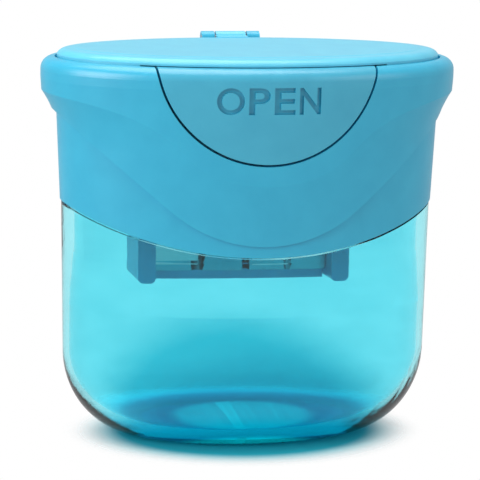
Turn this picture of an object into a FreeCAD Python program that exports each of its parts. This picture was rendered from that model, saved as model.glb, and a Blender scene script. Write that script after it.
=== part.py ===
"""Hand-held canister pencil sharpener: chip bin, head with cutter carrier, flip lid and push button.

Frame: millimetres, +Z up, origin at the centre of the base, X along the wide side,
the push button on the -Y side and the lid hinge on the +Y side.
"""
import FreeCAD, Part
import math
import os
import re

# Driving dimensions, in millimetres and degrees
DIMENSIONS = {
    # Chip bin
    "base_half_width": 15.7,
    "base_half_depth": 8.5,
    "bin_step_side": 0.6,
    "bin_step_front": 0.45,
    "bin_draft": 0.4,
    "corner_height": 13.0,
    "bin_wall": 1.0,
    "floor_thickness": 1.6,
    "neck_wall": 1.15,
    "neck_top": 39.0,
    "neck_root": 0.8,
    "neck_shoulder": 8.0,
    "neck_clearance": 0.15,
    # Seam between bin and head, an arc that dips at the front and the rear
    "seam_dip": 29.2,
    "seam_radius": 65.5,
    "seam_gap": 0.3,
    # Head outline
    "band_wall": 1.0,
    "band_top": 50.2,
    "band_lean": 0.5,
    "band_flare": 0.6,
    "rim_half_width": 31.0,
    "rim_half_depth": 17.8,
    "rim_top": 57.0,
    "rim_wall": 2.05,
    "rim_round": 1.8,
    "rim_band": 3.0,
    "overhang_side": 2.65,
    "overhang_front": 1.4,
    "waist_step_side": 0.25,
    "waist_step_front": 0.45,
    "waist_height": 32.0,
    "collar_step_side": 0.9,
    "collar_step_front": 0.65,
    "crest_height": 40.3,
    "crest_step": 0.58,
    "shoulder_height": 44.7,
    "shoulder_flare": 52.6,
    "flare_power": 2.0,
    "flare_excess": 0.2,
    "swoosh_dip": 31.2,
    "swoosh_radius": 21.25,
    "swoosh_arc_half_width": 13.7,
    # Deck of the carrier and its bosses
    "deck_top": 51.0,
    "deck_thickness": 2.5,
    "deck_side_gap": 0.1,
    "deck_rear_gap": 0.55,
    "deck_front_inset": 7.9,
    "boss_inset": 2.5,
    "boss_offset": 3.4,
    "boss_radius": 2.1,
    "boss_bottom": 40.5,
    # Carrier cage round the cutter blocks
    "leg_bottom": 24.1,
    "leg_width": 2.6,
    "leg_front": 4.0,
    "leg_round": 0.8,
    "cage_wall": 1.2,
    "cage_bar": 1.55,
    "bar_front": 2.2,
    "lip_height": 4.0,
    "fit_gap": 0.1,
    # Cutter blocks
    "block_depth": 13.0,
    "block_bottom": 25.5,
    "block_spacing": 1.2,
    "throat_length": 5.0,
    "large_width": 13.4,
    "large_bore": 5.6,
    "large_tip": 0.8,
    "small_width": 11.4,
    "small_bore": 4.1,
    "small_tip": 0.46,
    "hole_margin": 0.4,
    # Blades and their screws
    "blade_thickness": 0.5,
    "blade_bite": 0.8,
    "blade_inset": 0.3,
    "blade_length": 17.0,
    "blade_screw_head": 1.55,
    "blade_screw_head_height": 0.9,
    "blade_screw_shank": 0.85,
    "blade_screw_length": 3.0,
    "screw_clearance": 0.05,
    "slot_width": 0.5,
    "slot_depth": 0.5,
    # Screws of the deck and the leaf
    "deck_screw_head": 1.6,
    "deck_screw_head_height": 1.3,
    "deck_screw_shank": 1.0,
    "deck_screw_length": 8.0,
    "leaf_screw_head": 1.5,
    "leaf_screw_head_height": 0.9,
    "leaf_screw_shank": 0.8,
    "leaf_screw_length": 2.5,
    # Lid and hinge
    "lid_gap": 0.35,
    "lid_bottom": 55.6,
    "lid_top": 58.3,
    "lid_wall": 1.0,
    "lid_round": 0.9,
    "lid_crown": 3.0,
    "lid_button_gap": 0.12,
    "hinge_inset": 1.6,
    "hinge_height": 57.8,
    "barrel_radius": 1.1,
    "tab_half_width": 4.5,
    "knuckle_half_width": 2.3,
    "knuckle_gap": 0.25,
    "notch_depth": 0.9,
    "pin_radius": 0.55,
    "pin_clearance": 0.05,
    # Push button and latch
    "button_radius": 16.4,
    "button_dip": 43.0,
    "button_gap": 0.35,
    "flange_margin": 1.2,
    "flange_gap": 0.2,
    "flange_thickness": 1.2,
    "flange_drop": 1.6,
    "pusher_inner": 1.5,
    "pusher_width": 0.8,
    "pusher_bottom": 52.2,
    "pusher_height": 1.4,
    "pusher_gap": 0.3,
    "arm_inner": 8.0,
    "arm_width": 1.5,
    "arm_height": 1.4,
    "arm_overlap": 1.6,
    "rib_width": 0.5,
    "rib_length": 2.9,
    "slide_gap": 0.2,
    "leaf_thickness": 0.35,
    "leaf_half_width": 2.4,
    "leaf_inset": 0.2,
    "leaf_foot_length": 5.7,
    "leaf_screw_inset": 3.5,
    "hook_height": 54.2,
    "hook_length": 1.2,
    "tongue_half_width": 1.2,
    "tongue_thickness": 1.2,
    "tongue_bottom": 53.0,
    "nose_height": 1.0,
    "latch_gap": 0.3,
}

# Sizes that follow from the driving ones, from the rim inwards and downwards
DERIVED = {
    "waist_half_width": "rim_half_width - overhang_side",
    "waist_half_depth": "rim_half_depth - overhang_front",
    "crest_half_depth": "rim_half_depth - crest_step",
    "band_half_width": "waist_half_width - waist_step_side",
    "band_half_depth": "waist_half_depth - waist_step_front",
    "collar_foot_half_width": "band_half_width + collar_step_side",
    "collar_foot_half_depth": "band_half_depth + collar_step_front",
    "bin_half_width": "band_half_width - bin_step_side",
    "bin_half_depth": "band_half_depth - bin_step_front",
    "deck_half_width": "band_half_width - band_wall - deck_side_gap",
    "deck_half_depth": "band_half_depth - band_wall - deck_rear_gap",
    "deck_front": "rim_half_depth - deck_front_inset",
    "deck_under": "deck_top - deck_thickness",
    "boss_spacing": "band_half_width - band_wall - boss_inset",
    "block_top": "deck_under - fit_gap",
    "cone_top": "block_top - throat_length",
    "large_taper": "atan((large_bore - large_tip) / (cone_top - block_bottom))",
    "small_taper": "atan((small_bore - small_tip) / (cone_top - block_bottom))",
    "large_middle": "-(block_spacing + large_width) / 2",
    "small_middle": "(block_spacing + small_width) / 2",
    "cage_inner": "block_depth / 2 + fit_gap",
    "cage_outer": "cage_inner + cage_wall",
    "hinge_setback": "rim_half_depth - hinge_inset",
    "arm_end": "deck_front - arm_overlap",
    "rib_end": "deck_front - rib_length",
    "leaf_front": "deck_front - leaf_inset",
    "leaf_end": "leaf_front - leaf_foot_length",
    "leaf_screw_setback": "leaf_front - leaf_screw_inset",
}

# Length of a cutting tool that has to pass right through the part
REACH = 2 * DIMENSIONS["rim_half_width"]
BOSSES = {"left": ("-boss_spacing", "-boss_offset"), "right": ("boss_spacing", "boss_offset")}
CORNER_STEPS = (0, 18, 36, 54, 72, 90)
ROUND_STEPS = (0, 30, 60, 90)
FLARE_STEPS = (0, 0.2, 0.4, 0.6, 0.8, 1)

document = FreeCAD.newDocument("canister_sharpener")


def fill_sheet():
    """Write the driving and the derived dimensions into a spreadsheet, one alias each."""
    sheet = document.addObject("Spreadsheet::Sheet", "sizes")
    cells = {alias: str(value) for alias, value in DIMENSIONS.items()}
    cells.update({alias: f"={text}" for alias, text in DERIVED.items()})
    for row, (alias, content) in enumerate(cells.items(), start=1):
        sheet.set(f"A{row}", alias)
        sheet.set(f"B{row}", content)
        sheet.setAlias(f"B{row}", alias)
    document.recompute()
    return sheet


sizes = fill_sheet()


def size(alias):
    """Read one dimension from the spreadsheet."""
    return float(sizes.get(alias))


def formula(text):
    """Turn plain size names into references to the spreadsheet."""
    known = DIMENSIONS.keys() | DERIVED.keys()
    return re.sub(r"[a-z_]+", lambda word: f"sizes.{word[0]}" if word[0] in known else word[0], str(text))


def bind(item, formulas):
    """Bind properties of an object to formulas of the dimensions."""
    for name, text in formulas.items():
        item.setExpression(name, formula(text))


def ellipse(name, half_width, half_depth, height):
    """Level ellipse, centred on the vertical axis."""
    item = document.addObject("Part::Ellipse", name)
    bind(item, {"MajorRadius": half_width, "MinorRadius": half_depth, "Placement.Base.z": height})
    return item


def loft(name, sections):
    """Solid through level ellipses, each given as half width, half depth and height."""
    item = document.addObject("Part::Loft", name)
    item.Sections = [ellipse(f"{name}_section_{i}", *section) for i, section in enumerate(sections)]
    item.Solid = True
    return item


def box(name, x, y, z):
    """Block between the given limits along each axis."""
    item = document.addObject("Part::Box", name)
    for side, base, (low, high) in zip(("Length", "Width", "Height"), "xyz", (x, y, z)):
        bind(item, {side: f"({high}) - ({low})", f"Placement.Base.{base}": low})
    return item


def rod(name, radius, axis, low, high, across):
    """Cylinder along X, Y or Z from low to high, at the two other coordinates in order."""
    item = document.addObject("Part::Cylinder", name)
    turns = {
        "x": FreeCAD.Rotation(FreeCAD.Vector(0, 1, 0), 90),
        "y": FreeCAD.Rotation(FreeCAD.Vector(1, 0, 0), -90),
        "z": FreeCAD.Rotation(),
    }
    item.Placement = FreeCAD.Placement(FreeCAD.Vector(), turns[axis])
    others = [letter for letter in "xyz" if letter != axis]
    bind(item, {"Radius": radius, "Height": f"({high}) - ({low})", f"Placement.Base.{axis}": low})
    for letter, place in zip(others, across):
        bind(item, {f"Placement.Base.{letter}": place})
    return item


def fuse(name, items):
    """Join several solids into one."""
    item = document.addObject("Part::MultiFuse", name)
    item.Shapes = list(items)
    return item


def cut(name, base, tools):
    """Take one or more solids away from a base."""
    item = document.addObject("Part::Cut", name)
    item.Base = base
    item.Tool = tools[0] if len(tools) == 1 else fuse(f"{name}_tools", tools)
    return item


def common(name, items):
    """Keep what several solids share."""
    item = document.addObject("Part::MultiCommon", name)
    item.Shapes = list(items)
    return item


def both_sides(name, low, high, y, z):
    """A pair of blocks, mirrored about the plane X = 0."""
    right = box(f"{name}_right", (low, high), y, z)
    left = box(f"{name}_left", (f"-({high})", f"-({low})"), y, z)
    return [left, right]


def stack(name, groups):
    """Solid made of lofts that stand on each other, one for each group of sections."""
    return fuse(name, [loft(f"{name}_{i}", group) for i, group in enumerate(groups)])


def tub(inset, bottom):
    """Sections of the bin's rounded bottom, on its outside or a given inset within it."""
    sections = []
    for angle in CORNER_STEPS:
        wide = f"base_half_width + (bin_half_width - base_half_width) * sin({angle} deg) - ({inset})"
        deep = f"base_half_depth + (bin_half_depth - base_half_depth) * sin({angle} deg) - ({inset})"
        height = f"({bottom}) + (corner_height - ({bottom})) * (1 - cos({angle} deg))"
        sections.append((wide, deep, height))
    return sections


def chip_bin():
    """See-through tub with a rounded bottom and a neck that the head slides over."""
    flare = "bin_half_width + bin_draft", "bin_half_depth + bin_draft"
    corner = tub("0", "0")
    outside = stack("bin_outside", [corner, [corner[-1], (*flare, "neck_top")]])
    body = cut("bin_body", outside, [seam_cutter("bin_seam", "0")])
    neck_inset = "band_wall + neck_clearance"
    neck_wide = f"band_half_width - ({neck_inset})"
    neck_deep = f"band_half_depth - ({neck_inset})"
    neck_foot = "seam_dip - neck_root"
    neck = loft("bin_neck", [(neck_wide, neck_deep, neck_foot), (neck_wide, neck_deep, "neck_top")])
    hollow = tub("bin_wall", "floor_thickness")
    shoulder = (*hollow[-1][:2], f"{neck_foot} - neck_shoulder")
    mouth = f"{neck_wide} - neck_wall", f"{neck_deep} - neck_wall"
    inside = stack("bin_inside", [
        hollow,
        [hollow[-1], shoulder],
        [shoulder, (*mouth, neck_foot)],
        [(*mouth, neck_foot), (*mouth, "neck_top + neck_wall")],
    ])
    return cut("chip_bin", fuse("bin_solid", [body, neck]), [inside])


def seam_cutter(name, gap):
    """Everything above the seam arc, less a gap."""
    height = "seam_dip + seam_radius"
    return rod(name, f"seam_radius - ({gap})", "y", -REACH, REACH, ("0", height))


def swoosh_prism():
    """Everything above the swoosh: an arc at the front that runs out into straight tangents."""
    radius = size("swoosh_radius")
    dip = size("swoosh_dip")
    arc_x = size("swoosh_arc_half_width")
    drop = math.sqrt(radius ** 2 - arc_x ** 2)
    arc_z = dip + radius - drop
    end_z = arc_z + (REACH - arc_x) * arc_x / drop
    points = [(-REACH, end_z), (-arc_x, arc_z), (0, dip), (arc_x, arc_z), (REACH, end_z)]
    left_end, left, middle, right, right_end = [FreeCAD.Vector(x, -REACH, z) for x, z in points]
    top = [FreeCAD.Vector(x, -REACH, end_z + REACH) for x in (REACH, -REACH)]
    edges = [
        Part.LineSegment(left_end, left),
        Part.Arc(left, middle, right),
        Part.LineSegment(right, right_end),
        Part.LineSegment(right_end, top[0]),
        Part.LineSegment(top[0], top[1]),
        Part.LineSegment(top[1], left_end),
    ]
    wire = Part.Wire([edge.toShape() for edge in edges])
    item = document.addObject("Part::Feature", "swoosh_prism")
    item.Shape = Part.Face(wire).extrude(FreeCAD.Vector(0, 2 * REACH, 0))
    return item


def collar():
    """Collar with the rim band on top, leaning in a little below it, and a rounded upper edge."""
    band_foot = "rim_top - rim_band"
    cap_foot = "rim_top - rim_round"
    rim = "rim_half_width", "rim_half_depth"
    foot = "collar_foot_half_width", "collar_foot_half_depth", "seam_dip - rim_band"
    lean = loft("collar_lean", [foot, (*rim, band_foot)])
    band = loft("collar_band", [(*rim, band_foot), (*rim, cap_foot)])
    cap = []
    for angle in ROUND_STEPS:
        inset = f"rim_round * (1 - cos({angle} deg))"
        height = f"{cap_foot} + rim_round * sin({angle} deg)"
        cap.append((f"rim_half_width - {inset}", f"rim_half_depth - {inset}", height))
    return fuse("collar", [lean, band, loft("collar_cap", cap)])


def waist():
    """Waist that flares out under the rim and meets the collar in a soft crest line."""
    slope = "(crest_half_depth - waist_half_depth) / (crest_height - waist_height)"

    def section(wide, height):
        """One level section; the depth grows steadily with height."""
        return wide, f"waist_half_depth + {slope} * (({height}) - waist_height)", height

    foot = section("waist_half_width", "seam_dip - rim_band")
    flare = []
    for step in FLARE_STEPS:
        wide = f"waist_half_width + (overhang_side + flare_excess) * {step} ^ flare_power"
        flare.append(section(wide, f"shoulder_height + (shoulder_flare - shoulder_height) * {step}"))
    top = section("rim_half_width + rim_round", "rim_top + rim_round")
    return stack("waist", [[foot, flare[0]], flare, [flare[-1], top]])


def interior(name, inset):
    """Inside of the head, or a surface a given inset within it."""
    low_wide = f"band_half_width - band_wall - ({inset})"
    low_deep = f"band_half_depth - band_wall - ({inset})"
    rim_wide = f"rim_half_width - rim_wall - ({inset})"
    rim_deep = f"rim_half_depth - rim_wall - ({inset})"
    low = low_wide, low_deep
    rim = rim_wide, rim_deep
    heights = "seam_dip - 2 * rim_band", "shoulder_height", "shoulder_flare", "rim_top + rim_round"
    sections = [(*pair, height) for pair, height in zip((low, low, rim, rim), heights)]
    return stack(name, [sections[i:i + 2] for i in range(len(sections) - 1)])


def head_outside():
    """Outer form of the head: collar and waist above the swoosh, plain band below it."""
    upper = common("head_upper", [collar(), waist(), swoosh_prism()])
    band = loft("head_band", [
        ("band_half_width - band_lean", "band_half_depth", "seam_dip - rim_band"),
        ("band_half_width + band_flare", "band_half_depth", "band_top"),
    ])
    return fuse("head_outside", [upper, band])


def button_disc(name, grow, low, high):
    """Round outline of the push button, extruded along Y."""
    height = "button_dip + button_radius"
    return rod(name, f"button_radius + ({grow})", "y", low, high, ("0", height))


def hinge_rod(name, radius, half_length):
    """Cylinder on the hinge axis."""
    return rod(name, radius, "x", f"-({half_length})", half_length, ("hinge_setback", "hinge_height"))


def head_shell(outside):
    """Moulded head with bosses for the deck, an opening for the button and two hinge lugs."""
    seamed = common("head_seamed", [outside, seam_cutter("head_seam", "seam_gap")])
    shell = cut("head_hollow", seamed, [interior("head_inside", "0")])
    bosses = [rod(f"boss_{side}", "boss_radius", "z", "boss_bottom", "deck_under", place)
              for side, place in BOSSES.items()]
    notch = box("hinge_notch", ("-tab_half_width - knuckle_gap", "tab_half_width + knuckle_gap"),
                ("hinge_setback - 2 * barrel_radius", REACH), ("rim_top - notch_depth", 2 * REACH))
    opening = button_disc("button_opening", "0", -REACH, "-deck_front")
    open_shell = cut("head_open", shell, [notch, opening])
    inner = "knuckle_half_width + knuckle_gap"
    barrel_y = "hinge_setback - barrel_radius", "hinge_setback + barrel_radius"
    web_z = "rim_top - 2 * notch_depth", "hinge_height"
    webs = both_sides("lug_web", inner, "tab_half_width", barrel_y, web_z)
    barrel = cut("lug_barrel", hinge_rod("lug_rod", "barrel_radius", "tab_half_width"),
                 [box("lug_gap", (f"-({inner})", inner), ("0", REACH), ("0", 2 * REACH))])
    solid = fuse("head_solid", [open_shell, barrel] + bosses + webs)
    holes = [hinge_rod("lug_hole", "pin_radius + screw_clearance", "tab_half_width + rim_round")]
    for side, place in BOSSES.items():
        holes.append(rod(f"boss_hole_{side}", "deck_screw_shank + screw_clearance", "z",
                         "deck_under - deck_screw_length", "deck_top", place))
    return cut("head_shell", solid, holes)


def leg(name, low, high):
    """Leg of the cage between two limits along X, with rounded lower edges."""
    y = "-leg_front", "cage_outer"
    turn = "leg_bottom + leg_round"
    inner = f"{low} + leg_round", f"{high} - leg_round"
    upper = box(f"{name}_upper", (low, high), y, (turn, "deck_under"))
    foot = box(f"{name}_foot", inner, y, ("leg_bottom", turn))
    edges = [rod(f"{name}_edge_{i}", "leg_round", "y", *y, (x, turn)) for i, x in enumerate(inner)]
    return [upper, foot] + edges


def cutter_carrier():
    """Deck with two pencil holes over a cage that holds the cutter blocks."""
    oval = "deck_half_width", "deck_half_depth"
    deck = cut("deck_plate", loft("deck_oval", [(*oval, "deck_under"), (*oval, "deck_top")]),
               [box("deck_front_cut", (-REACH, REACH), (-REACH, "-deck_front"), ("0", 2 * REACH))])
    left = "large_middle - large_width / 2 - fit_gap"
    right = "small_middle + small_width / 2 + fit_gap"
    legs = leg("leg_left", f"{left} - leg_width", left) + leg("leg_right", right, f"{right} + leg_width")
    back = box("cage_back", (left, right), ("cage_inner", "cage_outer"), ("block_bottom", "deck_under"))
    bar = box("cage_foot_bar", (left, right), ("bar_front", "cage_outer"),
              ("block_bottom - cage_bar", "block_bottom"))
    lip = box("cage_lip", (left, right), ("-cage_outer", "-cage_inner"),
              ("deck_under - lip_height", "deck_under"))
    rib_y = "-deck_front", "-rib_end"
    rib_z = "deck_under", "deck_top + arm_height"
    ribs = both_sides("rib_inner", "arm_inner - slide_gap - rib_width", "arm_inner - slide_gap", rib_y, rib_z)
    outer_rib = "arm_inner + arm_width + slide_gap"
    ribs += both_sides("rib_outer", outer_rib, f"{outer_rib} + rib_width", rib_y, rib_z)
    solid = fuse("carrier_solid", [deck, back, bar, lip] + legs + ribs)
    holes = []
    for kind in ("large", "small"):
        holes.append(rod(f"{kind}_deck_hole", f"{kind}_bore + hole_margin", "z",
                         "block_top", 2 * REACH, (f"{kind}_middle", "0")))
    holes.append(rod("leaf_screw_hole", "leaf_screw_shank + screw_clearance", "z",
                     "block_top", 2 * REACH, ("0", "-leaf_screw_setback")))
    for side, place in BOSSES.items():
        holes.append(rod(f"deck_screw_hole_{side}", "deck_screw_shank + screw_clearance", "z",
                         "block_top", 2 * REACH, place))
    return cut("cutter_carrier", solid, holes)


class Slant:
    """Slanted front face of a cutter block: a tilted frame that the blade and its screw share."""

    def __init__(self, kind):
        self.kind = kind
        self.middle = f"{kind}_middle"
        self.tilt = f"({kind}_taper)"
        self.pivot_y = f"(blade_bite - {kind}_bore)"
        self.pivot_z = "cone_top"

    def place(self, item, x, depth, run):
        """Set an object's base point, given across, into and along the slanted face."""
        bind(item, {
            "Placement.Base.x": x,
            "Placement.Base.y": f"{self.pivot_y} + ({depth}) * cos{self.tilt} - ({run}) * sin{self.tilt}",
            "Placement.Base.z": f"{self.pivot_z} + ({depth}) * sin{self.tilt} + ({run}) * cos{self.tilt}",
        })

    def plate(self, name, x, depth, run):
        """Tilted block between limits across, into and along the face."""
        item = document.addObject("Part::Box", name)
        item.Placement = FreeCAD.Placement(
            FreeCAD.Vector(), FreeCAD.Rotation(FreeCAD.Vector(1, 0, 0), size(f"{self.kind}_taper")))
        for side, (low, high) in zip(("Length", "Width", "Height"), (x, depth, run)):
            bind(item, {side: f"({high}) - ({low})"})
        self.place(item, x[0], depth[0], run[0])
        return item

    def peg(self, name, radius, depth, offset):
        """Tilted cylinder, square to the face, at half of the blade's length."""
        item = document.addObject("Part::Cylinder", name)
        lean = size(f"{self.kind}_taper") - 90
        item.Placement = FreeCAD.Placement(
            FreeCAD.Vector(), FreeCAD.Rotation(FreeCAD.Vector(1, 0, 0), lean))
        bind(item, {"Radius": radius, "Height": f"({depth[1]}) - ({depth[0]})"})
        self.place(item, f"{self.middle} - ({offset})", depth[0], "-blade_length / 2 - blade_inset")
        return item

    def screw_offset(self):
        """Distance of the blade screw from the cutting edge."""
        return f"{self.kind}_width / 2 - blade_inset - blade_screw_head"


def cutter_block(slant):
    """Metal block with a straight throat, a cone for the point and a slanted face for the blade."""
    kind = slant.kind
    half = f"{kind}_width / 2"
    body = box(f"{kind}_blank", (f"{slant.middle} - {half}", f"{slant.middle} + {half}"),
               ("-block_depth / 2", "block_depth / 2"), ("block_bottom", "block_top"))
    throat = rod(f"{kind}_throat", f"{kind}_bore", "z", slant.pivot_z, 2 * REACH, (slant.middle, "0"))
    cone = document.addObject("Part::Cone", f"{kind}_cone")
    bind(cone, {
        "Radius1": f"{kind}_tip",
        "Radius2": f"{kind}_bore",
        "Height": "cone_top - block_bottom",
        "Placement.Base.x": slant.middle,
        "Placement.Base.z": "block_bottom",
    })
    across = f"{slant.middle} - {kind}_width", f"{slant.middle} + {kind}_width"
    face = slant.plate(f"{kind}_face", across, ("-block_depth", "0"), (-REACH, "0"))
    hole = slant.peg(f"{kind}_block_screw_hole", "blade_screw_shank + screw_clearance",
                     ("-blade_thickness", "blade_screw_length + screw_clearance"), slant.screw_offset())
    return cut(f"{kind}_block", body, [throat, cone, face, hole])


def blade(slant):
    """Steel blade on the slanted face, its edge on the block's centre line."""
    kind = slant.kind
    plate = slant.plate(f"{kind}_blade_plate",
                        (f"{slant.middle} - {kind}_width / 2 + blade_inset", slant.middle),
                        ("-blade_thickness", "0"), ("-blade_inset - blade_length", "-blade_inset"))
    hole = slant.peg(f"{kind}_blade_hole", "blade_screw_shank + screw_clearance",
                     ("-2 * blade_thickness", "blade_thickness"), slant.screw_offset())
    bevel = slant.plate(f"{kind}_bevel", (slant.middle, f"{slant.middle} + blade_bite * 2"),
                        ("-blade_thickness * 3", "0"), ("-2 * blade_length", "blade_length"))
    return cut(f"{kind}_blade", plate, [hole, bevel])


def blade_screw(slant):
    """Slotted screw that holds a blade to its block."""
    kind = slant.kind
    head_out = "-blade_thickness - blade_screw_head_height"
    offset = slant.screw_offset()
    head = slant.peg(f"{kind}_screw_head", "blade_screw_head", (head_out, "-blade_thickness"), offset)
    shank = slant.peg(f"{kind}_screw_shank", "blade_screw_shank",
                      ("-blade_thickness", "blade_screw_length"), offset)
    middle = f"{slant.middle} - ({offset})"
    slot = slant.plate(f"{kind}_screw_slot", (f"{middle} - slot_width / 2", f"{middle} + slot_width / 2"),
                       (f"{head_out} - slot_depth", f"{head_out} + slot_depth"), ("-2 * blade_length", "0"))
    return cut(f"{kind}_blade_screw", fuse(f"{kind}_screw_solid", [head, shank]), [slot])


def upright_screw(name, kind, place, seat):
    """Slotted screw with its axis upright and its head on a level seat."""
    head = rod(f"{name}_head", f"{kind}_head", "z", seat, f"{seat} + {kind}_head_height", place)
    shank = rod(f"{name}_shank", f"{kind}_shank", "z", f"{seat} - {kind}_length", seat, place)
    top = f"{seat} + {kind}_head_height"
    x, y = place
    slot = box(f"{name}_slot", (f"{x} - 2 * {kind}_head", f"{x} + 2 * {kind}_head"),
               (f"{y} - slot_width / 2", f"{y} + slot_width / 2"),
               (f"{top} - slot_depth", f"{top} + slot_depth"))
    return cut(name, fuse(f"{name}_solid", [head, shank]), [slot])


def carrier_screws():
    """The two screws that hold the deck to the head, as one group."""
    pair = [upright_screw(f"deck_screw_{side}", "deck_screw", place, "deck_top")
            for side, place in BOSSES.items()]
    item = document.addObject("Part::Compound", "carrier_screws")
    item.Links = pair
    return item


def lid():
    """Flip lid: rounded cover, hollow below, with a hinge knuckle and a latch tongue."""
    wide = "rim_half_width - rim_wall - lid_gap"
    deep = "rim_half_depth - rim_wall - lid_gap"
    foot = "lid_top - lid_round"
    side = loft("lid_side", [(wide, deep, "lid_bottom"), (wide, deep, foot)])
    cap = []
    for angle in ROUND_STEPS:
        inset = f"lid_crown * (1 - cos({angle} deg))"
        cap.append((f"{wide} - {inset}", f"{deep} - {inset}", f"{foot} + lid_round * sin({angle} deg)"))
    ceiling = "lid_top - lid_wall"
    hollow = loft("lid_hollow", [(f"{wide} - lid_wall", f"{deep} - lid_wall", "lid_bottom - lid_wall"),
                                 (f"{wide} - lid_wall", f"{deep} - lid_wall", ceiling)])
    clear = "button_radius + flange_margin + slide_gap + latch_gap"
    front = box("lid_front_cut", (f"-({clear})", clear), (-REACH, "-rib_end"),
                ("0", "rim_top + lid_button_gap"))
    lugs = both_sides("lid_lug_cut", "knuckle_half_width", "tab_half_width + 2 * knuckle_gap",
                      ("hinge_setback - barrel_radius - 2 * knuckle_gap", REACH), ("0", 2 * REACH))
    cover = cut("lid_cover", fuse("lid_blank", [side, loft("lid_cap", cap)]), [hollow, front] + lugs)
    knuckle = hinge_rod("lid_knuckle", "barrel_radius", "knuckle_half_width")
    strap = box("lid_strap", ("-knuckle_half_width", "knuckle_half_width"),
                ("hinge_setback - 3 * barrel_radius", "hinge_setback"),
                (ceiling, "hinge_height + barrel_radius / 2"))
    hook_end = "(leaf_front + hook_length)"
    tongue_x = "-tongue_half_width", "tongue_half_width"
    tongue_back = f"-{hook_end} - latch_gap"
    tongue = box("lid_tongue", tongue_x, (f"{tongue_back} - tongue_thickness", tongue_back),
                 ("tongue_bottom", "lid_top - lid_wall / 2"))
    nose = box("lid_nose", tongue_x, (tongue_back, "-leaf_front - latch_gap"),
               ("tongue_bottom", "tongue_bottom + nose_height"))
    solid = fuse("lid_solid", [cover, knuckle, strap, tongue, nose])
    return cut("lid", solid, [hinge_rod("lid_pin_hole", "pin_radius + pin_clearance", "tab_half_width")])


def hinge_pin():
    """Steel pin of the lid hinge."""
    return hinge_rod("hinge_pin", "pin_radius", "tab_half_width")


def open_button(outside):
    """Push button in the skin of the head, with a flange, two pushers and two guide arms."""
    back = interior("button_back", "flange_gap + flange_thickness")
    skin = cut("button_skin", outside, [back])
    face = common("button_face", [skin, button_disc("button_plate", "-button_gap", -REACH, "-deck_front")])
    ring = cut("flange_ring", interior("flange_front", "flange_gap"),
               [interior("flange_back", "flange_gap + flange_thickness")])
    flange = common("button_flange", [
        ring, button_disc("flange_disc", "flange_margin", -REACH, "-deck_front"),
        box("flange_limit", (-REACH, REACH), (-REACH, "0"), ("0", "rim_top - flange_drop")),
    ])
    root = "-(rim_half_depth - rim_wall)"
    pusher_end = "-leaf_front - pusher_gap"
    pushers = both_sides("pusher", "pusher_inner", "pusher_inner + pusher_width", (root, pusher_end),
                         ("pusher_bottom", "pusher_bottom + pusher_height"))
    arm_low = "deck_top + slide_gap"
    arms = both_sides("guide_arm", "arm_inner", "arm_inner + arm_width", (root, "-arm_end"),
                      (arm_low, f"{arm_low} + arm_height"))
    return fuse("open_button", [face, flange] + pushers + arms)


def catch_leaf():
    """Spring steel leaf on the deck: it hooks the lid's tongue and returns the button."""
    width = "-leaf_half_width", "leaf_half_width"
    inner = "-leaf_front + leaf_thickness"
    top = "hook_height + leaf_thickness"
    foot = box("leaf_foot", width, ("-leaf_front", "-leaf_end"), ("deck_top", "deck_top + leaf_thickness"))
    upright = box("leaf_upright", width, ("-leaf_front", inner), ("deck_top", top))
    hook = box("leaf_hook", width, ("-leaf_front - hook_length", inner), ("hook_height", top))
    hole = rod("leaf_hole", "leaf_screw_shank + screw_clearance", "z", "0", 2 * REACH,
               ("0", "-leaf_screw_setback"))
    return cut("catch_leaf", fuse("leaf_solid", [foot, upright, hook]), [hole])


def leaf_screw():
    """Screw that holds the leaf to the deck."""
    seat = "deck_top + leaf_thickness"
    return upright_screw("leaf_screw", "leaf_screw", ("0", "-leaf_screw_setback"), seat)


def build():
    """Make every sub-part and return them in the order of assembly."""
    outside = head_outside()
    nodes = [chip_bin(), head_shell(outside), cutter_carrier(), carrier_screws()]
    for slant in (Slant("large"), Slant("small")):
        nodes += [cutter_block(slant), blade(slant), blade_screw(slant)]
    nodes += [lid(), hinge_pin(), open_button(outside), catch_leaf(), leaf_screw()]
    return nodes


def check(nodes):
    """Stop if an object of the document failed or a sub-part is empty or not valid."""
    for item in document.Objects:
        if "Invalid" in item.State or "Error" in item.State:
            raise RuntimeError(f"{item.Name} failed: {item.State}")
    for node in nodes:
        shape = node.Shape
        if shape.isNull() or not shape.isValid() or not shape.Solids:
            raise RuntimeError(f"{node.Label} has no valid solid")


def write(nodes):
    """Write each sub-part to a file that carries its label."""
    os.makedirs("parts", exist_ok=True)
    for node in nodes:
        bounds = node.Shape.BoundBox
        print(f"{node.Label}: {len(node.Shape.Solids)} solids, {node.Shape.Volume:.1f} mm3, "
              f"x {bounds.XMin:.2f} {bounds.XMax:.2f} y {bounds.YMin:.2f} {bounds.YMax:.2f} "
              f"z {bounds.ZMin:.2f} {bounds.ZMax:.2f}")
        node.Shape.exportStep(f"parts/{node.Label}.step")


parts = build()
document.recompute()
check(parts)
write(parts)
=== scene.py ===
"""Dress the canister pencil sharpener: finishes, button lettering, floor, light and camera."""

import logging
import math
from dataclasses import dataclass, field
from enum import Enum

import bpy
from mathutils import Euler, Matrix, Vector

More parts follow.
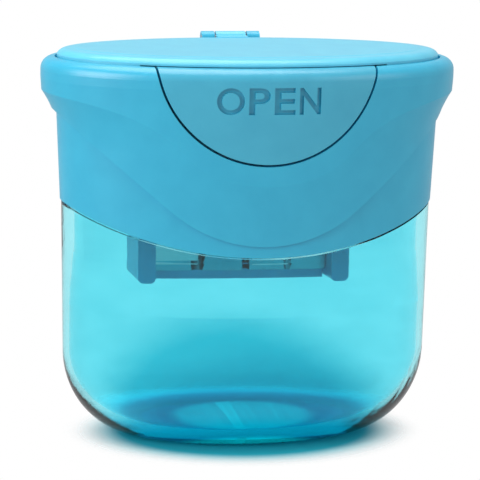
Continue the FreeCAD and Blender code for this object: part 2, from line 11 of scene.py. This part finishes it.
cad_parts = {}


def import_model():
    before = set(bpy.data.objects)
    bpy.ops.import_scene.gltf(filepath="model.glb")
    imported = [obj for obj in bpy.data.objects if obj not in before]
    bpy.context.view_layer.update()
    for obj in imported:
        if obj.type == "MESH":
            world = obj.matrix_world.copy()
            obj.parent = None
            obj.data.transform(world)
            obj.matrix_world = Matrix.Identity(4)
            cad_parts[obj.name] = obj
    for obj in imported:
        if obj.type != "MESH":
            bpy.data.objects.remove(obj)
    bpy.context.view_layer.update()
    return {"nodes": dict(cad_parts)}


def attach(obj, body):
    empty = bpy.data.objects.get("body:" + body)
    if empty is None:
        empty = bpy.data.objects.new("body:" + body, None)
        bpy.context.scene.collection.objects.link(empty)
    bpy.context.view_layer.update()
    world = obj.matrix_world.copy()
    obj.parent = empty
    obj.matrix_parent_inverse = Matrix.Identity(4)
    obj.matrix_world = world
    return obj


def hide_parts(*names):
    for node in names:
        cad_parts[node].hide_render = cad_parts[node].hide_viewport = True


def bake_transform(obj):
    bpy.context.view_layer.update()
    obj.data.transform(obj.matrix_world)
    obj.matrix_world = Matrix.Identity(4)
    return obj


LOG = logging.getLogger("sharpener")
Colour = tuple[float, float, float]
Triple = tuple[float, float, float]
Span = tuple[float, float]

# Pattern values between which two colours of a finish are mixed
BLEND_ENDS = (0.3, 0.7)


def srgb(red: int, green: int, blue: int) -> Colour:
    """Turn display values of 0 to 255 into linear light.

    Args:
        red: Red display value.
        green: Green display value.
        blue: Blue display value.

    Returns:
        The same colour as linear values.
    """
    parts = []
    for value in (red, green, blue):
        share = value / 255
        parts.append(share / 12.92 if share <= 0.04045 else ((share + 0.055) / 1.055) ** 2.4)
    return tuple(parts)


class Grain(Enum):
    """Surface grain of a finish: size of the pattern in repeats per metre."""

    FINE = 2400.0
    MEDIUM = 900.0
    COARSE = 260.0


class Fade(Enum):
    """How a range node runs from one end to the other."""

    LINEAR = "LINEAR"
    SMOOTH = "SMOOTHSTEP"


class NodeSheet:
    """A material's node tree with short calls to add and link nodes."""

    def __init__(self, name: str) -> None:
        """Start an empty material with a Principled shader.

        Args:
            name: Name of the material.
        """
        self.material = bpy.data.materials.new(name)
        self.material.use_nodes = True
        self.tree = self.material.node_tree
        self.shader = self.tree.nodes["Principled BSDF"]
        self.place = self.tree.nodes.new("ShaderNodeTexCoord").outputs["Object"]

    def add(self, kind: str, **values: object) -> bpy.types.Node:
        """Add one node.

        Args:
            kind: Blender's name of the node type.
            **values: Attributes of the node to set.

        Returns:
            The new node.
        """
        node = self.tree.nodes.new(kind)
        for key, value in values.items():
            setattr(node, key, value)
        return node

    def link(self, source: bpy.types.NodeSocket, target: bpy.types.NodeSocket) -> None:
        """Join two sockets.

        Args:
            source: The socket that gives the value.
            target: The socket that takes it.
        """
        self.tree.links.new(source, target)

    def feed(self, source: bpy.types.NodeSocket, name: str) -> None:
        """Join a socket to one of the shader's own sockets.

        Args:
            source: The socket that gives the value.
            name: Name of the shader's socket.
        """
        self.link(source, self.shader.inputs[name])

    def noise(
        self, scale: float, detail: float = 3.0, stretch: Triple = (1, 1, 1)
    ) -> bpy.types.NodeSocket:
        """Add a noise pattern on object coordinates.

        Args:
            scale: Repeats per metre.
            detail: Octaves of the noise.
            stretch: Scale along each axis.

        Returns:
            The socket with values of 0 to 1.
        """
        mapping = self.add("ShaderNodeMapping")
        mapping.inputs["Scale"].default_value = stretch
        self.link(self.place, mapping.inputs["Vector"])
        noise = self.add("ShaderNodeTexNoise")
        noise.inputs["Scale"].default_value = scale
        noise.inputs["Detail"].default_value = detail
        self.link(mapping.outputs["Vector"], noise.inputs["Vector"])
        return noise.outputs["Fac"]

    def ramp(
        self, factor: bpy.types.NodeSocket, stops: tuple[tuple[float, Colour], ...]
    ) -> bpy.types.NodeSocket:
        """Colour a pattern by a row of stops.

        Args:
            factor: Pattern of 0 to 1.
            stops: Positions from low to high, each with its colour.

        Returns:
            The colour socket.
        """
        ramp = self.add("ShaderNodeValToRGB")
        elements = ramp.color_ramp.elements
        while len(elements) < len(stops):
            elements.new(0.5)
        for element, (position, colour) in zip(elements, stops):
            element.position = position
            element.color = (*colour, 1)
        self.link(factor, ramp.inputs["Fac"])
        return ramp.outputs["Color"]

    def blend(
        self, factor: bpy.types.NodeSocket, low: Colour, high: Colour
    ) -> bpy.types.NodeSocket:
        """Mix two colours by a pattern.

        Args:
            factor: Pattern of 0 to 1.
            low: Colour where the pattern is at or below the first of BLEND_ENDS.
            high: Colour where the pattern is at or above the second.

        Returns:
            The colour socket.
        """
        return self.ramp(factor, tuple(zip(BLEND_ENDS, (low, high))))

    def remap(
        self,
        value: bpy.types.NodeSocket,
        source: Span = (0.0, 1.0),
        target: Span = (0.0, 1.0),
        fade: Fade = Fade.LINEAR,
    ) -> bpy.types.NodeSocket:
        """Map one range of values onto another.

        Args:
            value: The value to map.
            source: Ends of its range.
            target: What the ends become.
            fade: How it runs between the ends.

        Returns:
            The value socket.
        """
        span = self.add("ShaderNodeMapRange", interpolation_type=fade.value)
        for name, number in zip(("From Min", "From Max", "To Min", "To Max"), (*source, *target)):
            span.inputs[name].default_value = number
        self.link(value, span.inputs["Value"])
        return span.outputs["Result"]

    def distance(self, size: Triple) -> bpy.types.NodeSocket:
        """Measure how far a point is from the origin.

        Args:
            size: Half sizes along each axis, which count as 1.

        Returns:
            The distance socket.
        """
        scale = self.add("ShaderNodeVectorMath", operation="DIVIDE")
        scale.inputs[1].default_value = size
        self.link(self.place, scale.inputs[0])
        away = self.add("ShaderNodeVectorMath", operation="LENGTH")
        self.link(scale.outputs["Vector"], away.inputs[0])
        return away.outputs["Value"]

    def bump(self, height: bpy.types.NodeSocket, strength: float, distance: float) -> None:
        """Raise the surface a little by a pattern.

        Args:
            height: Pattern of 0 to 1.
            strength: Strength of the effect.
            distance: Height of the pattern in metres.
        """
        node = self.add("ShaderNodeBump")
        node.inputs["Strength"].default_value = strength
        node.inputs["Distance"].default_value = distance
        self.link(height, node.inputs["Height"])
        self.feed(node.outputs["Normal"], "Normal")

    def set(self, **values: object) -> None:
        """Set constant values on the shader's own sockets.

        Args:
            **values: Names of the sockets, with underscores for spaces, and their values.
        """
        for key, value in values.items():
            self.shader.inputs[key.replace("_", " ")].default_value = value


@dataclass(frozen=True)
class MouldedPlastic:
    """Opaque moulded plastic with a fine spark-eroded grain."""

    name: str
    colour: Colour
    shade: Colour
    gloss: Span = (0.26, 0.36)
    grain: Grain = Grain.FINE
    grain_detail: float = 4.0
    grain_strength: float = 0.12
    grain_height: float = 0.00004
    refraction: float = 1.5
    shine: float = 0.8
    glow: float = 0.12
    glow_depth: float = 0.002
    glow_reach: Triple = (0.5, 1.0, 1.2)

    def material(self) -> bpy.types.Material:
        """Build the finish.

        Returns:
            The material.
        """
        sheet = NodeSheet(self.name)
        cloud = sheet.noise(Grain.COARSE.value)
        sheet.feed(sheet.blend(cloud, self.shade, self.colour), "Base Color")
        fine = sheet.noise(self.grain.value, self.grain_detail)
        sheet.feed(sheet.remap(fine, target=self.gloss), "Roughness")
        sheet.bump(fine, self.grain_strength, self.grain_height)
        sheet.set(
            IOR=self.refraction,
            Specular_IOR_Level=self.shine,
            Subsurface_Weight=self.glow,
            Subsurface_Scale=self.glow_depth,
            Subsurface_Radius=self.glow_reach,
        )
        return sheet.material


@dataclass(frozen=True)
class ClearPlastic:
    """See-through tinted plastic with faint flow marks, and painted shade around the middle of its
    floor.
    """

    name: str
    colour: Colour
    shade: Colour
    gloss: Span = (0.02, 0.07)
    painted_shade_size: Triple = (0.021, 1.0, 0.0145)
    painted_shade_fade: Span = (0.6, 1.3)
    flow_scale: float = 120.0
    flow_detail: float = 2.0
    flow_stretch: Triple = (1, 1, 2.5)
    flow_share: float = 0.12
    flow_strength: float = 0.05
    flow_height: float = 0.0001
    refraction: float = 1.46

    def material(self) -> bpy.types.Material:
        """Build the finish.

        Returns:
            The material.
        """
        sheet = NodeSheet(self.name)
        flow = sheet.noise(self.flow_scale, self.flow_detail, self.flow_stretch)
        # Painted shade: darker towards the middle of the floor, standing in for the ground's shadow
        # seen through it; the flow marks add real tone on top
        painted_shade = sheet.remap(sheet.distance(self.painted_shade_size), self.painted_shade_fade, BLEND_ENDS, Fade.SMOOTH)
        painted_shade_and_flow = sheet.add("ShaderNodeMath", operation="MULTIPLY_ADD")
        painted_shade_and_flow.inputs[1].default_value = -self.flow_share
        sheet.link(flow, painted_shade_and_flow.inputs[0])
        sheet.link(painted_shade, painted_shade_and_flow.inputs[2])
        sheet.feed(sheet.blend(painted_shade_and_flow.outputs["Value"], self.shade, self.colour), "Base Color")
        sheet.feed(sheet.remap(sheet.noise(Grain.MEDIUM.value), target=self.gloss), "Roughness")
        sheet.bump(flow, self.flow_strength, self.flow_height)
        sheet.set(IOR=self.refraction, Transmission_Weight=1.0)
        return sheet.material


@dataclass(frozen=True)
class WorkedMetal:
    """Steel or light alloy with tool marks along one axis."""

    name: str
    colour: Colour
    shade: Colour
    gloss: Span = (0.22, 0.42)
    marks: Triple = (1, 1, 18)
    mark_strength: float = 0.15
    mark_height: float = 0.00003

    def material(self) -> bpy.types.Material:
        """Build the finish.

        Returns:
            The material.
        """
        sheet = NodeSheet(self.name)
        lines = sheet.noise(Grain.MEDIUM.value, stretch=self.marks)
        sheet.feed(sheet.blend(lines, self.shade, self.colour), "Base Color")
        sheet.feed(sheet.remap(lines, target=self.gloss), "Roughness")
        sheet.bump(lines, self.mark_strength, self.mark_height)
        sheet.set(Metallic=1.0)
        return sheet.material


HEAD_PLASTIC = MouldedPlastic("head_plastic", srgb(48, 186, 222), srgb(42, 180, 217))
# The lid's plastic is a lighter copy of the head plastic: painted light standing in for the top
# light and sheen on the lid
LID_PLASTIC_PAINTED_LIGHT = MouldedPlastic("lid_plastic", srgb(96, 208, 238), srgb(90, 202, 234))
BUTTON_PLASTIC = MouldedPlastic("button_plastic", srgb(66, 182, 213), srgb(60, 176, 208))
# The letters' plastic is a darker copy of the button plastic: painted shade in the sunk letters
LETTER_PAINTED_SHADE = MouldedPlastic("letter_recess_painted_shade", srgb(40, 170, 202), srgb(34, 163, 196))
# The carrier's plastic is a darker, bluer copy of the head plastic: painted shade standing in for
# the shadow inside the tinted bin
CARRIER_PLASTIC_PAINTED_SHADE = MouldedPlastic("carrier_plastic", srgb(2, 165, 204), srgb(0, 157, 197))
# The bin's shade colour is the painted shade around the middle of its floor
BIN_PLASTIC = ClearPlastic("bin_plastic", srgb(168, 245, 253), srgb(20, 200, 218))
# The blocks' metal is tinted turquoise and darkened: painted reflection of the turquoise plastic
# around it and painted shade inside the bin
BLOCK_METAL_PAINTED_REFLECTION = WorkedMetal("block_metal", (0.1, 0.4, 0.48), (0.07, 0.33, 0.4), marks=(8, 8, 1))
BLADE_STEEL = WorkedMetal("blade_steel", (0.62, 0.63, 0.65), (0.48, 0.49, 0.51))
SCREW_STEEL = WorkedMetal("screw_steel", (0.58, 0.57, 0.55), (0.42, 0.41, 0.4), marks=(1, 1, 1))
PIN_STEEL = WorkedMetal("pin_steel", (0.6, 0.6, 0.61), (0.46, 0.46, 0.47), marks=(18, 1, 1))
SPRING_STEEL = WorkedMetal("spring_steel", (0.42, 0.44, 0.48), (0.3, 0.31, 0.34), marks=(18, 1, 1))

NODE_FINISHES = {
    "chip_bin": BIN_PLASTIC,
    "head_shell": HEAD_PLASTIC,
    "lid": LID_PLASTIC_PAINTED_LIGHT,
    "open_button": BUTTON_PLASTIC,
    "cutter_carrier": CARRIER_PLASTIC_PAINTED_SHADE,
    "carrier_screws": SCREW_STEEL,
    "large_block": BLOCK_METAL_PAINTED_REFLECTION,
    "small_block": BLOCK_METAL_PAINTED_REFLECTION,
    "large_blade": BLADE_STEEL,
    "small_blade": BLADE_STEEL,
    "large_blade_screw": SCREW_STEEL,
    "small_blade_screw": SCREW_STEEL,
    "hinge_pin": PIN_STEEL,
    "catch_leaf": SPRING_STEEL,
    "leaf_screw": SCREW_STEEL,
}


def dress_nodes(nodes: dict[str, bpy.types.Object]) -> None:
    """Give every carried-over node its finish.

    Args:
        nodes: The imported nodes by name.
    """
    finishes = dict.fromkeys(NODE_FINISHES.values())
    made = {finish.name: finish.material() for finish in finishes}
    for name, finish in NODE_FINISHES.items():
        item = nodes[name]
        item.data.materials.clear()
        item.data.materials.append(made[finish.name])
        LOG.info("dressed %s", name)


def alone(item: bpy.types.Object) -> None:
    """Select one object only and make it the active one.

    Args:
        item: The object.
    """
    bpy.ops.object.select_all(action="DESELECT")
    item.select_set(True)
    bpy.context.view_layer.objects.active = item


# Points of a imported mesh, or of the word's cutter, that are closer than this in metres are merged
NODE_MERGE = 2e-6
LETTER_MERGE = 1e-7


def merged_copy(node: bpy.types.Object, name: str) -> bpy.types.Object:
    """Copy a node's mesh with its doubled points merged.

    Args:
        node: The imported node.
        name: Name of the copy.

    Returns:
        The copy, at the origin, selected and active.
    """
    copy = bpy.data.objects.new(name, node.data.copy())
    bpy.context.scene.collection.objects.link(copy)
    alone(copy)
    bpy.ops.mesh.customdata_custom_splitnormals_clear()
    bpy.ops.object.mode_set(mode="EDIT")
    bpy.ops.mesh.select_all(action="SELECT")
    bpy.ops.mesh.remove_doubles(threshold=NODE_MERGE)
    bpy.ops.mesh.normals_make_consistent(inside=False)
    bpy.ops.object.mode_set(mode="OBJECT")
    return copy


# The button's word: each letter with its ends as shares of the word's width
WORD_SPANS = (("O", 0.0, 0.262), ("P", 0.303, 0.506), ("E", 0.547, 0.749), ("N", 0.79, 1.0))


@dataclass
class PushButton:
    """Push button with its word sunk into the curved face."""

    node: bpy.types.Object
    word_width: float = 0.0151
    word_height: float = 0.00385
    word_corner: Span = (-0.0078, 0.0506)
    # A letter as it is typed, before its points are laid on the face
    stroke: float = 0.018
    thickness: float = 0.5
    curve_steps: int = 6
    # The word's depth, how far its cutter stands proud, and where the search for the face starts
    sunk: float = 0.00045
    clear: float = 0.001
    start: float = -0.06
    smooth_angle: float = math.radians(24)

    def letter(self, sign: str, left: float, right: float) -> bpy.types.Object:
        """Model one letter as a cutter that follows the face.

        Args:
            sign: The letter.
            left: Its left end as a share of the word's width.
            right: Its right end as a share of the word's width.

        Returns:
            The cutter, a mesh at the origin.
        """
        bpy.ops.object.select_all(action="DESELECT")
        bpy.ops.object.text_add()
        text = bpy.context.object
        text.data.body = sign
        text.data.offset = self.stroke
        text.data.extrude = self.thickness
        text.data.resolution_u = self.curve_steps
        bpy.ops.object.convert(target="MESH")
        cutter = bpy.context.object
        points = [v.co.copy() for v in cutter.data.vertices]
        low = Vector(min(p[i] for p in points) for i in range(3))
        high = Vector(max(p[i] for p in points) for i in range(3))
        for vertex, point in zip(cutter.data.vertices, points):
            share = left + (right - left) * (point.x - low.x) / (high.x - low.x)
            x = self.word_corner[0] + share * self.word_width
            z = self.word_corner[1] + (point.y - low.y) / (high.y - low.y) * self.word_height
            _, place, _, _ = self.node.ray_cast(Vector((x, self.start, z)), Vector((0, 1, 0)))
            depth = self.sunk if point.z < 0 else -self.clear
            vertex.co = Vector((x, place.y + depth, z))
        return cutter

    def letters(self) -> bpy.types.Object:
        """Model the whole word as one closed cutter.

        Returns:
            The cutter, a mesh at the origin.
        """
        cutters = [self.letter(*span) for span in WORD_SPANS]
        alone(cutters[0])
        for cutter in cutters[1:]:
            cutter.select_set(True)
        bpy.ops.object.join()
        word = bpy.context.object
        word.name = "word_cutter"
        bpy.ops.object.mode_set(mode="EDIT")
        bpy.ops.mesh.select_all(action="SELECT")
        bpy.ops.mesh.remove_doubles(threshold=LETTER_MERGE)
        bpy.ops.mesh.quads_convert_to_tris()
        bpy.ops.mesh.normals_make_consistent(inside=False)
        bpy.ops.object.mode_set(mode="OBJECT")
        # The cutter's darker plastic goes onto the recess faces as painted shade
        word.data.materials.append(LETTER_PAINTED_SHADE.material())
        return word

    def build(self) -> bpy.types.Object:
        """Sink the word into a copy of the button and put it in the node's place.

        Returns:
            The finished button.
        """
        cutter = self.letters()
        button = merged_copy(self.node, "push_button")
        sink = button.modifiers.new("sunk_word", "BOOLEAN")
        sink.operation = "DIFFERENCE"
        sink.solver = "EXACT"
        sink.object = cutter
        sink.material_mode = "TRANSFER"
        bpy.ops.object.modifier_apply(modifier=sink.name)
        bpy.data.objects.remove(cutter)
        bpy.ops.object.shade_smooth_by_angle(angle=self.smooth_angle)
        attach(button, "button")
        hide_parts("open_button")
        return button


@dataclass
class CatchLeaf:
    """Leaf spring, copied from the catch leaf and subdivided."""

    node: bpy.types.Object
    bend_start: Vector = field(default_factory=lambda: Vector((0, -0.0107, 0.0512)))
    bend_end: Vector = field(default_factory=lambda: Vector((0, -0.0107, 0.0526)))
    cuts: int = 5

    def build(self) -> bpy.types.Object:
        """Put a subdivided copy in the node's place.

        Returns:
            The finished leaf.
        """
        leaf = merged_copy(self.node, "leaf_spring")
        bpy.ops.object.mode_set(mode="EDIT")
        bpy.ops.mesh.select_all(action="SELECT")
        bpy.ops.mesh.subdivide(number_cuts=self.cuts)
        bpy.ops.object.mode_set(mode="OBJECT")
        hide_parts("catch_leaf")
        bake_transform(leaf)
        return leaf


@dataclass(frozen=True)
class Lamp:
    """Soft square lamp, hidden from sight through the bin."""

    name: str
    place: Triple
    size: float
    power: float

    def hang(self, aim: Vector) -> None:
        """Hang the lamp so that it faces the object.

        Args:
            aim: The point that it faces.
        """
        data = bpy.data.lights.new(self.name, "AREA")
        data.shape = "SQUARE"
        data.size = self.size
        data.energy = self.power
        item = bpy.data.objects.new(self.name, data)
        item.location = Vector(self.place)
        item.rotation_euler = (aim - item.location).to_track_quat("-Z", "Y").to_euler()
        item.visible_transmission = False
        bpy.context.scene.collection.objects.link(item)


# Places and sizes in metres, powers in watts
LAMPS = (
    Lamp("top_lamp", (-0.05, 0.1, 0.7), 0.6, 3.2),
    Lamp("left_lamp", (-0.65, -0.28, 0.3), 0.5, 3.2),
    Lamp("front_right_lamp", (0.6, -0.5, 0.35), 0.5, 0.8),
)

# Floor colours by distance from the middle, in half sizes of the patch: painted turquoise light
# where light through the bin would fall, a painted shadow ring near the foot's edge, then white
FLOOR_PAINTED_LIGHT_TINTS = (
    (0.0, (0.0, 0.72, 0.70)),
    (0.5, (0.0, 0.66, 0.66)),
    (0.62, (0.0, 0.34, 0.46)),
    (1.0, (0.02, 0.46, 0.58)),
    (1.15, (0.4, 0.78, 0.84)),
    (1.4, (0.95, 0.97, 0.97)),
)
# Distance at which the floor's colour ramp ends
FLOOR_PAINTED_LIGHT_REACH = 3.0


@dataclass
class Studio:
    """Floor with painted light and painted shadow around the bin's foot, white surround and the
    camera, with the lamps around it.
    """

    azimuth: float = -10.82
    distance: float = 0.387
    height: float = 0.10235
    pitch: float = 10.69
    roll: float = 1.08
    lens: float = 196.6
    shift: Span = (-0.0121, -0.0016)
    clip_start: float = 0.01
    aim: Vector = field(default_factory=lambda: Vector((0, 0, 0.03)))
    floor_size: float = 0.6
    floor_roughness: float = 0.6
    painted_light_patch: Span = (0.0187, 0.015)
    shadow_fade: Span = (1.0, 1.5)
    glow_through: float = 1.0
    surround: float = 0.55

    def floor(self) -> None:
        """Make the floor, with painted light and painted shadow around the bin's foot, and clear to
        the white surround elsewhere.
        """
        bpy.ops.object.select_all(action="DESELECT")
        bpy.ops.mesh.primitive_plane_add(size=self.floor_size)
        plane = bpy.context.object
        plane.name = "floor"
        sheet = NodeSheet("floor_painted_light")
        away = sheet.distance((*self.painted_light_patch, 1.0))
        stops = tuple((distance / FLOOR_PAINTED_LIGHT_REACH, colour) for distance, colour in FLOOR_PAINTED_LIGHT_TINTS)
        painted_light = sheet.ramp(sheet.remap(away, (0.0, FLOOR_PAINTED_LIGHT_REACH)), stops)
        sheet.feed(painted_light, "Base Color")
        # Seen through the bin, the floor gives off its own colour as light: a painted glow standing
        # in for the light the bin would let through
        sheet.feed(painted_light, "Emission Color")
        through = sheet.add("ShaderNodeLightPath").outputs["Is Transmission Ray"]
        sheet.feed(sheet.remap(through, target=(0.0, self.glow_through)), "Emission Strength")
        sheet.feed(sheet.remap(away, self.shadow_fade, (1.0, 0.0), Fade.SMOOTH), "Alpha")
        sheet.set(Roughness=self.floor_roughness)
        plane.data.materials.append(sheet.material)

    def world(self) -> None:
        """Set an even white surround, weaker as a source of light than it looks."""
        world = bpy.data.worlds.new("studio_surround")
        bpy.context.scene.world = world
        world.use_nodes = True
        tree = world.node_tree
        back = tree.nodes["Background"]
        back.inputs["Color"].default_value = (1, 1, 1, 1)
        path = tree.nodes.new("ShaderNodeLightPath")
        seen = tree.nodes.new("ShaderNodeMath")
        seen.operation = "MAXIMUM"
        for socket, kind in zip(seen.inputs, ("Is Camera Ray", "Is Transmission Ray")):
            tree.links.new(path.outputs[kind], socket)
        level = tree.nodes.new("ShaderNodeMapRange")
        level.inputs["To Min"].default_value = self.surround
        level.inputs["To Max"].default_value = 1.0
        tree.links.new(seen.outputs["Value"], level.inputs["Value"])
        tree.links.new(level.outputs["Result"], back.inputs["Strength"])

    def gaze(self) -> Euler:
        """Turn the camera's azimuth, pitch and roll into a rotation.

        Returns:
            The rotation.
        """
        turn = Matrix.Rotation(math.radians(self.azimuth), 3, "Z")
        tip = Matrix.Rotation(math.radians(90 - self.pitch), 3, "X")
        lean = Matrix.Rotation(math.radians(self.roll), 3, "Z")
        return (turn @ tip @ lean).to_euler()

    def camera(self) -> None:
        """Stand the camera at the viewing angle."""
        turn = math.radians(self.azimuth)
        forward, aside = math.cos(turn) * self.distance, math.sin(turn) * self.distance
        data = bpy.data.cameras.new("camera")
        data.lens = self.lens
        data.shift_x, data.shift_y = self.shift
        data.clip_start = self.clip_start
        item = bpy.data.objects.new("camera", data)
        item.location = Vector((aside, -forward, self.height))
        item.rotation_euler = self.gaze()
        bpy.context.scene.collection.objects.link(item)
        bpy.context.scene.camera = item

    def build(self) -> None:
        """Set up the whole studio."""
        self.floor()
        self.world()
        for lamp in LAMPS:
            lamp.hang(self.aim)
        self.camera()
        bpy.context.scene.view_settings.view_transform = "Standard"


def main() -> None:
    """Build the scene in order."""
    logging.basicConfig(level=logging.INFO, format="%(message)s")
    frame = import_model()
    nodes = frame["nodes"]
    dress_nodes(nodes)
    for piece in (PushButton(nodes["open_button"]), CatchLeaf(nodes["catch_leaf"])):
        LOG.info("built %s", piece.build().name)
    Studio().build()


if __name__ == "__main__":
    main()
